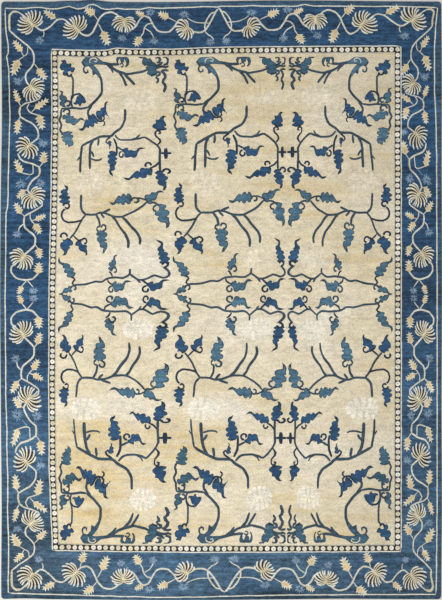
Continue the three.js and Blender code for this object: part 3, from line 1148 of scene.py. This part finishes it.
def last_cells(points, triangles, sources, outlines):
    """The last of the cells that cover each triangle, or -1. Where edges all but touch, the cutter may take
    the wrong side of a cell for its inside: its area tells, and its triangles are found by their middles
    instead."""
    areas = triangle_areas(points, triangles)
    which = np.repeat(np.arange(len(triangles)), [len(source) for source in sources])
    cell = np.array([number for source in sources for number in source])
    filled = np.bincount(cell, areas[which], len(outlines))
    wanted = np.array([twice_area(outline) / 2 for outline in outlines])
    astray = filled > ASTRAY_SHARE * wanted + ASTRAY_SLACK
    last = np.full(len(triangles), -1)
    sound = ~astray[cell]
    np.maximum.at(last, which[sound], cell[sound])
    middles = points[triangles].mean(axis=1)
    for number in np.flatnonzero(astray):
        covered = encloses(outlines[number], middles)
        last[covered] = np.maximum(last[covered], number)
    return last


def pile_height(points, rings, dip):
    """The height of the pile's surface at each point: the solid's own shoulder, then soft broad dips."""
    edge = rings[0][:, :2]
    insets = [edge_distance(ring[:, :2], edge).mean() for ring in rings]
    distance = edge_distance(points, edge)
    shoulder = np.interp(distance, insets, [ring[0, 2] for ring in rings])
    broad = np.array([noise.noise(Vector((x * 2.1, y * 1.7, 3.0))) for x, y in points])
    close = np.array([noise.noise(Vector((x * 9.0, y * 7.0, 8.0))) for x, y in points])
    depth = np.clip(0.5 + 0.7 * broad + 0.3 * close, 0, 1)
    return shoulder - dip * depth * np.clip(distance / insets[-1] - 0.5, 0, 1)


WIDEST_RING = 2
# Patches with more points than this are the frame's plain areas, which the underside shows too.
LONGEST_MOTIF = 200


class OBJECT_OT_knot_rug(bpy.types.Operator):
    """Knot the rug from its chart, over the outline of its solid"""

    bl_idname = "object.knot_chinese_rug"
    bl_label = "Knot the Rug"

    def execute(self, context):
        sizes = context.scene.rug_sizes
        yarns = context.scene.rug_yarns
        rings = outline_rings("rug")
        rim, shoulder = rings[WIDEST_RING + 1], rings[WIDEST_RING + 2:]
        drawing = whole_chart(sizes.wobble)
        loose = np.concatenate(shoulder)[:, :2]
        top, triangles, owners = cut_surface(rim[:, :2], loose, drawing.patches, sizes)
        heights = pile_height(top, rings[WIDEST_RING:], sizes.dip)
        heights[:len(rim)] = rim[:, 2]
        plain = [patch for patch in drawing.patches if len(patch.points) > LONGEST_MOTIF]
        under, under_triangles, under_owners = cut_surface(rings[0][:, :2], rim[:0, :2], plain, sizes)
        floor_level = np.full(len(under), rings[0][0, 2])
        levels = [np.column_stack((top, heights)), np.column_stack((under, floor_level))]
        levels += rings[1:WIDEST_RING + 1]
        vertices = np.concatenate(levels)
        starts = np.cumsum([len(level) for level in levels[:-1]]).tolist() + [0]
        faces = triangles.tolist()
        for lower, upper in zip(starts, starts[1:]):
            for i in range(len(rim)):
                j = (i + 1) % len(rim)
                faces.append((lower + i, lower + j, upper + j, upper + i))
        edge_faces = len(faces) - len(triangles)
        faces += (under_triangles[:, ::-1] + starts[0]).tolist()
        mesh = bpy.data.meshes.new("rug_pile")
        mesh.from_pydata(vertices.tolist(), [], faces)
        under_owners = np.where(under_owners > 0, under_owners + len(drawing.patches), 0)
        owners = np.concatenate((owners, np.zeros(edge_faces, int), under_owners))
        colour_corners(mesh, owners, drawing.patches + plain, yarns)
        # Each kind of wear, and the painted shade, as an amount at every point.
        for name, rows in WEARS_AND_SHADE:
            attribute = mesh.attributes.new(name=name, type="FLOAT", domain="POINT")
            attribute.data.foreach_set("value", wear_and_shade_at(vertices, rows, sizes.square).astype(np.float32))
        mesh.materials.append(wool_pile(sizes))
        if mesh.validate():
            raise RuntimeError("the pattern's cells made faces that had to be mended")
        rug = bpy.data.objects.new("rug_pile", mesh)
        context.scene.collection.objects.link(rug)
        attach(rug, "root")
        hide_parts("rug")
        low, high = rings[WIDEST_RING].min(axis=0), rings[WIDEST_RING].max(axis=0)
        float(high[0] - low[0])
        float(high[1] - low[1])
        return {"FINISHED"}


def colour_corners(mesh, owners, patches, yarns):
    """Gives each corner of each face its yarn's colour, and how its dye and its stains vary and how much of
    the painted shade it takes. Owners number the patch of each face from 1, with 0 for the plain band."""
    names = ["band"] + [patch.yarn for patch in patches]
    tones = np.array([1.0] + [patch.tone for patch in patches])
    colours = np.array([tuple(getattr(yarns, name)) for name in names]) * tones[:, None]
    kinds = [YARN_HABITS[name] for name in names]
    counts = np.zeros(len(mesh.polygons), int)
    mesh.polygons.foreach_get("loop_total", counts)
    corners = np.repeat(owners, counts)
    colour = mesh.color_attributes.new(name="yarn", type="FLOAT_COLOR", domain="CORNER")
    colour.data.foreach_set("color", np.column_stack((colours[corners], np.ones(len(corners)))).ravel())
    for name in ("abrash", "stain", "fade"):
        habit = np.array([getattr(kind, name) for kind in kinds], np.float32)
        attribute = mesh.attributes.new(name=name, type="FLOAT", domain="CORNER")
        attribute.data.foreach_set("value", habit[corners])


# Materials

class Wire:
    """One output of a shader node, which can be used in sums: each sum adds a Math node."""

    def __init__(self, shader, socket):
        self.shader = shader
        self.socket = socket

    def maths(self, operation, first, second):
        return self.shader.node("ShaderNodeMath", {"operation": operation}, {0: first, 1: second})

    def __add__(self, other):
        return self.maths("ADD", self, other)

    def __radd__(self, other):
        return self.maths("ADD", other, self)

    def __sub__(self, other):
        return self.maths("SUBTRACT", self, other)

    def __rsub__(self, other):
        return self.maths("SUBTRACT", other, self)

    def __mul__(self, other):
        return self.maths("MULTIPLY", self, other)

    def __rmul__(self, other):
        return self.maths("MULTIPLY", other, self)


class Shader:
    """A material's nodes."""

    def __init__(self, name):
        self.material = bpy.data.materials.new(name)
        self.material.use_nodes = True
        self.tree = self.material.node_tree
        self.tree.nodes.clear()

    def node(self, kind, settings=None, sockets=None, output=0):
        """Adds a node, with its settings and its sockets' values or links, and gives one of its outputs."""
        node = self.tree.nodes.new(kind)
        for name, value in (settings or {}).items():
            if name == "stops":
                set_stops(node.color_ramp, value)
            else:
                setattr(node, name, value)
        for key, value in (sockets or {}).items():
            if isinstance(value, Wire):
                self.tree.links.new(value.socket, node.inputs[key])
            else:
                node.inputs[key].default_value = value
        return Wire(self, node.outputs[output]) if len(node.outputs) else None

    def noise(self, place, scale, detail=2.0, roughness=0.5):
        """Noise from 0 to 1 about a half."""
        sockets = {"Vector": place, "Scale": scale, "Detail": detail, "Roughness": roughness}
        return self.node("ShaderNodeTexNoise", {}, sockets)

    def stretched(self, place, x, y):
        """A place with its two directions scaled apart."""
        return self.node("ShaderNodeVectorMath", {"operation": "MULTIPLY"}, {0: place, 1: (x, y, 1.0)})

    def mix(self, factor, first, second, blend="MIX"):
        """Two colours mixed."""
        settings = {"data_type": "RGBA", "blend_type": blend}
        return self.node("ShaderNodeMix", settings, {0: factor, 6: first, 7: second}, output=2)

    def lift(self, colour, amount):
        """A colour made lighter or darker: multiplied by an amount."""
        return self.node("ShaderNodeVectorMath", {"operation": "SCALE"}, {0: colour, "Scale": amount})

    def ramp(self, factor, stops):
        """A value looked up along a ramp of (position, value) stops."""
        return self.node("ShaderNodeValToRGB", {"stops": stops}, {0: factor})


def set_stops(ramp, stops):
    """Gives a colour ramp its stops."""
    while len(ramp.elements) > 1:
        ramp.elements.remove(ramp.elements[-1])
    for place, (position, value) in enumerate(stops):
        element = ramp.elements[0] if place == 0 else ramp.elements.new(position)
        element.position = position
        element.color = (value, value, value, 1.0)


# How the blues changed along the rug, from its foot (0) to its head (1): lighter or darker than their middle
# (a half), and how far they faded towards grey.
FIELD_REACH = 1.8
AGED_BLUES = ((0.0, 0.56), (0.25, 0.54), (0.5, 0.5), (0.8, 0.48), (1.0, 0.44))
FADED_BLUES = ((0.0, 0.1), (0.3, 0.05), (0.5, 0.005), (1.0, 0.005))


def wool_pile(sizes):
    """Clipped wool: dye that changes from row to row, yellowed patches, single knots and fine fibre."""
    shader = Shader("wool_pile")
    place = shader.node("ShaderNodeTexCoord", output=3)
    along = shader.node("ShaderNodeSeparateXYZ", {}, {0: place}, output=1) * (0.5 / FIELD_REACH) + 0.5
    yarn = shader.node("ShaderNodeAttribute", {"attribute_name": "yarn"})
    abrash = shader.node("ShaderNodeAttribute", {"attribute_name": "abrash"}, output=2)
    # Per yarn: how far it takes stains, and how far it takes the painted shade.
    stain = shader.node("ShaderNodeAttribute", {"attribute_name": "stain"}, output=2)

    deeper = shader.node("ShaderNodeAttribute", {"attribute_name": "deeper"}, output=2)
    patches = shader.noise(shader.stretched(place, 1.0, 2.6), 2.4, 4.0, 0.6)
    rows = shader.noise(shader.stretched(place, 0.35, 7.0), 1.0, 3.0)
    fine_rows = shader.noise(shader.stretched(place, 1.6, 55.0), 1.0, 2.0)
    clouds = shader.noise(shader.stretched(place, 1.0, 1.3), 2.2, 3.0)
    mottle = shader.noise(shader.stretched(place, 1.0, 2.4), 26.0, 3.0, 0.65) - 0.5
    knot = shader.node(
        "ShaderNodeVectorMath", {"operation": "SNAP"}, {0: place, 1: (sizes.knot, sizes.knot * 0.92, 1.0)}
    )
    blotches = shader.noise(shader.stretched(place, 1.0, 1.7), 9.0, 3.0, 0.6) - 0.5
    fleck = shader.node("ShaderNodeTexWhiteNoise", {"noise_dimensions": "3D"}, {"Vector": knot})
    dyed = 1 + abrash * (
        (rows - 0.5) * 1.6 + (fine_rows - 0.5) * 1.5 + (clouds - 0.5) * 0.6 + mottle * 1.7
        + (fleck - 0.5) * 0.3 + shader.ramp(along, AGED_BLUES) - 0.5 - deeper * (0.1 + patches * 0.4)
    )
    tone = dyed * (0.81 + fleck * 0.38 + mottle * 0.75 + blotches * 0.45 + (fine_rows - 0.5) * 0.2)

    streaks = shader.noise(shader.stretched(place, 1.2, 16.0), 1.4, 3.0)
    yellow = shader.node("ShaderNodeAttribute", {"attribute_name": "yellowed"}, output=2)
    pale = shader.node("ShaderNodeAttribute", {"attribute_name": "bleached"}, output=2)
    broken = patches * 0.5 + streaks * 0.5 + mottle * 0.35
    yellowed = stain * shader.ramp(broken + yellow * 0.22, ((0.5, 0.0), (0.72, 1.0)))
    bleached = stain * shader.ramp(clouds * 0.7 + broken * 0.3 + pale * 0.16, ((0.5, 0.0), (0.74, 1.0)))
    fade = shader.node("ShaderNodeAttribute", {"attribute_name": "fade"}, output=2)
    faded = fade * shader.ramp(along, FADED_BLUES) * (0.2 + clouds * 1.6)
    colour = shader.mix(faded, yarn, dye(156, 180, 170) + (1.0,))
    colour = shader.mix(deeper * fade * 0.34, colour, dye(52, 52, 36) + (1.0,))
    colour = shader.mix(yellowed * 0.8, colour, dye(206, 181, 122) + (1.0,))
    # Painted shade: how strongly the pale yarns are greyed down the field's right side and across its head.
    soiled = stain * shader.node("ShaderNodeAttribute", {"attribute_name": "soiled"}, output=2)
    colour = shader.mix(bleached * 0.8, colour, dye(234, 227, 212) + (1.0,))
    # The painted shade mixed in as grey.
    colour = shader.mix(soiled * (0.15 + mottle * 0.3), colour, dye(120, 118, 116) + (1.0,))
    colour = shader.lift(colour, tone)

    tufts = shader.noise(place, 1 / sizes.knot, 1.0)
    fibre = shader.noise(place, 4 / sizes.knot, 2.0)
    height = tufts + fibre * 0.4
    bump = shader.node("ShaderNodeBump", {}, {"Strength": 0.55, "Distance": 0.0012, "Height": height})
    surface = shader.node(
        "ShaderNodeBsdfPrincipled",
        {},
        {
            "Base Color": colour,
            "Roughness": 0.88 + fibre * 0.1,
            "Specular IOR Level": 0.25,
            "Sheen Weight": 0.12,
            "Sheen Roughness": 0.6,
            "Normal": bump,
        },
    )
    shader.node("ShaderNodeOutputMaterial", {}, {"Surface": surface})
    return shader.material


# Stage

class StageSettings(bpy.types.PropertyGroup):
    """The floor, the light and the camera."""

    floor: bpy.props.FloatVectorProperty(
        name="Floor", description="Colour of the plain floor", default=dye(226, 224, 216), subtype="COLOR",
        min=0.0, max=1.0,
    )
    height: bpy.props.FloatProperty(
        name="Camera height", description="How far above the floor the camera hangs", default=14.0,
        subtype="DISTANCE", unit="LENGTH",
    )
    light: bpy.props.FloatProperty(
        name="Light", description="Power of the main soft light", default=190.0, subtype="POWER",
        unit="POWER",
    )
    fill: bpy.props.FloatProperty(
        name="Fill", description="Brightness of the light from all around", default=0.50, subtype="FACTOR",
        min=0.0, soft_max=2.0,
    )


FLOOR_REACH = 30.0
FLOOR_LEVEL = -0.0005  # just under the rug, so that the two never share a plane


class OBJECT_OT_lay_stage(bpy.types.Operator):
    """Lay the plain floor, hang the soft lights and set the camera straight above the rug"""

    bl_idname = "object.lay_rug_stage"
    bl_label = "Lay the Stage"

    def execute(self, context):
        scene = context.scene
        stage = scene.rug_stage
        mesh = bpy.data.meshes.new("floor")
        signs = ((-1, -1), (1, -1), (1, 1), (-1, 1))
        corners = [(x * FLOOR_REACH, y * FLOOR_REACH, FLOOR_LEVEL) for x, y in signs]
        mesh.from_pydata(corners, [], [(0, 1, 2, 3)])
        shader = Shader("pale_floor")
        surface = shader.node(
            "ShaderNodeBsdfPrincipled", {}, {"Base Color": tuple(stage.floor) + (1.0,), "Roughness": 0.9}
        )
        shader.node("ShaderNodeOutputMaterial", {}, {"Surface": surface})
        mesh.materials.append(shader.material)
        floor = bpy.data.objects.new("floor", mesh)
        scene.collection.objects.link(floor)
        floor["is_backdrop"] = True
        hang_light(scene, "main_light", (-2.4, -2.0, 4.8), 3.6, stage.light)
        hang_light(scene, "side_light", (2.6, 2.6, 5.2), 4.0, stage.light * 0.2)
        set_world(scene, stage.fill)
        set_camera(scene, stage.height)
        scene.view_settings.view_transform = "Standard"
        return {"FINISHED"}


def hang_light(scene, name, place, size, power):
    """Hangs a square soft light that faces the middle of the rug."""
    light = bpy.data.lights.new(name, "AREA")
    light.size = size
    light.energy = power
    lamp = bpy.data.objects.new(name, light)
    lamp.location = place
    lamp.rotation_euler = (-Vector(place)).to_track_quat("-Z", "Y").to_euler()
    scene.collection.objects.link(lamp)


def set_world(scene, strength):
    """Lights the scene evenly from all around."""
    world = bpy.data.worlds.new("studio")
    world.use_nodes = True
    background = world.node_tree.nodes["Background"]
    background.inputs["Color"].default_value = (1.0, 1.0, 1.0, 1.0)
    background.inputs["Strength"].default_value = strength
    scene.world = world


SENSOR_HEIGHT = 24.0  # millimetres
FARTHEST_SEEN = 200.0


def set_camera(scene, height):
    """Hangs the camera over the middle of the rug, with the whole chart in its view."""
    square = scene.rug_sizes.square
    data = bpy.data.cameras.new("camera")
    data.sensor_fit = "VERTICAL"
    data.sensor_height = SENSOR_HEIGHT
    data.lens = data.sensor_height * height / (CHART_LENGTH * square)
    data.clip_end = FARTHEST_SEEN
    camera = bpy.data.objects.new("camera", data)
    camera.location = (0.0, 0.0, height)
    scene.collection.objects.link(camera)
    scene.camera = camera


class VIEW3D_PT_rug(bpy.types.Panel):
    """The steps that make the rug, in order, and what each may change"""

    bl_idname = "VIEW3D_PT_chinese_rug"
    bl_label = "Chinese Wool Rug"
    bl_space_type = "VIEW_3D"
    bl_region_type = "UI"
    bl_category = "Rug"

    def draw(self, context):
        layout = self.layout
        for settings in (context.scene.rug_sizes, context.scene.rug_yarns, context.scene.rug_stage):
            box = layout.box()
            for name in settings.__annotations__:
                box.prop(settings, name)
        layout.operator(OBJECT_OT_knot_rug.bl_idname)
        layout.operator(OBJECT_OT_lay_stage.bl_idname)


CLASSES = (RugSizes, RugYarns, StageSettings, OBJECT_OT_knot_rug, OBJECT_OT_lay_stage, VIEW3D_PT_rug)


def register():
    for cls in CLASSES:
        bpy.utils.register_class(cls)
    bpy.types.Scene.rug_sizes = bpy.props.PointerProperty(type=RugSizes)
    bpy.types.Scene.rug_yarns = bpy.props.PointerProperty(type=RugYarns)
    bpy.types.Scene.rug_stage = bpy.props.PointerProperty(type=StageSettings)


def unregister():
    del bpy.types.Scene.rug_stage
    del bpy.types.Scene.rug_yarns
    del bpy.types.Scene.rug_sizes
    for cls in reversed(CLASSES):
        bpy.utils.unregister_class(cls)


def main():
    cad_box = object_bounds()
    register()
    bpy.ops.object.lay_rug_stage()
    bpy.ops.object.knot_chinese_rug()
    {"cad": plain(cad_box), "visual": plain(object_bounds())}


def plain(box):
    """A box's corners as plain lists of numbers."""
    return [[float(value) for value in corner] for corner in box]


if __name__ == "__main__":
    main()
